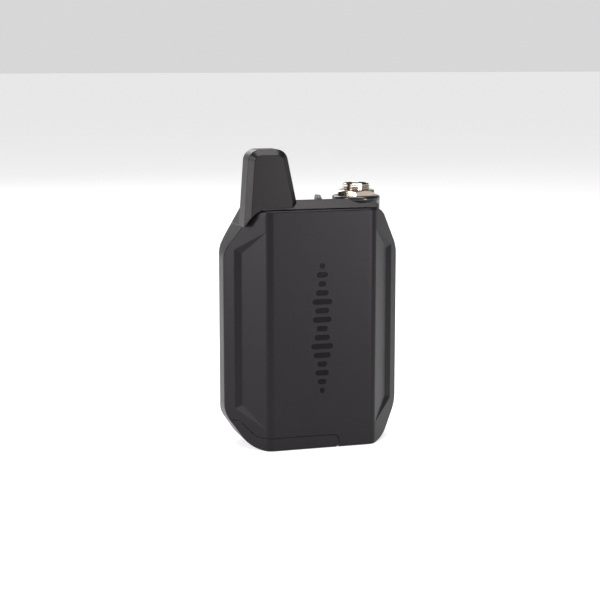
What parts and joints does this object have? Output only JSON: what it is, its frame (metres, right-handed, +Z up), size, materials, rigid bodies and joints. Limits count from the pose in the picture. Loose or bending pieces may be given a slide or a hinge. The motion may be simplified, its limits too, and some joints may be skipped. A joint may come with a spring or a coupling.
{
  "type": "wireless bodypack transmitter",
  "caption": "Flat bodypack audio transmitter with a tapered antenna tower, threaded microphone jack, chamfered casing, battery door and belt clip.",
  "frame": {"origin": "on the base plane, under the middle of the whole object", "axes": "+Z up towards the antenna, -Y out of the front cover, +X to the right as seen from the front"},
  "size_m": [0.065, 0.0296, 0.1067],
  "materials": {
    "painted_shell": "satin black powder coat",
    "cap_plastic": "fine satin moulded black",
    "nickel": "nickel plated",
    "black_insulator": "matt",
    "gold_contact": "gold plated",
    "circuit_board": "solder mask",
    "chip_black": "moulded",
    "tin_plate": "tinned",
    "battery_wrap": "satin",
    "tray_plastic": "matt",
    "foam": "closed cell foam",
    "knob_grey": "satin",
    "lens": "clear",
    "steel_black": "black oxide",
    "steel": "bright",
    "clip_steel": "satin black"
  },
  "bodies": {
    "root": {"front_cover": "painted_shell", "back_housing": "painted_shell", "top_cap": "cap_plastic", "antenna_board": "circuit_board", "antenna_trace": "gold_contact", "antenna_feed": "gold_contact", "jack_barrel": "nickel", "jack_nut": "nickel", "jack_insert": "black_insulator", "jack_pins": "gold_contact", "jack_board": "circuit_board", "switch_body": "black_insulator", "lamp_lens": "lens", "lamp_diode": "lens", "switch_board": "circuit_board", "port_plate": "cap_plastic", "port_shell": "steel", "port_tongue": "black_insulator", "port_board": "circuit_board", "link_switch": "tin_plate", "main_board": "circuit_board", "radio_shield": "tin_plate", "radio_chip": "chip_black", "audio_chip": "chip_black", "charger_chip": "chip_black", "crystal": "tin_plate", "board_capacitors": "tin_plate", "board_connector": "black_insulator", "board_screws": "steel", "case_screws": "steel_black", "battery_pack": "battery_wrap", "battery_pads": "gold_contact", "battery_tray": "tray_plastic", "contact_block": "black_insulator", "battery_contacts": "gold_contact", "door_hinge_pin": "steel", "door_hinge_block": "tray_plastic", "clip_bracket": "clip_steel", "clip_pin": "steel_black", "clip_spring": "steel", "clip_screws": "steel_black"},
    "door": {"battery_door": "painted_shell", "door_pad": "foam"},
    "power_knob": {"switch_knob": "knob_grey"},
    "link_key": {"link_button": "cap_plastic"},
    "clip": {"belt_clip": "clip_steel"}
  },
  "joints": [
    {"name": "door_hinge", "type": "hinge", "parent": "root", "child": "door", "pos_m": [0.00472, 0, 0.0016], "axis": [0, -1, 0], "range_deg": [0, 90]},
    {"name": "power_slide", "type": "slide", "parent": "root", "child": "power_knob", "axis": [1, 0, 0], "range_m": [-0.003, 0]},
    {"name": "link_press", "type": "slide", "parent": "root", "child": "link_key", "axis": [-1, 0, 0], "range_m": [0, 0.0005], "stiffness_N_per_m": 300},
    {"name": "clip_hinge", "type": "hinge", "parent": "root", "child": "clip", "pos_m": [0, 0.0112, 0.066], "axis": [1, 0, 0], "range_deg": [0, 14], "stiffness_Nm_per_rad": 0.3, "springref_deg": -11.46}
  ]
}
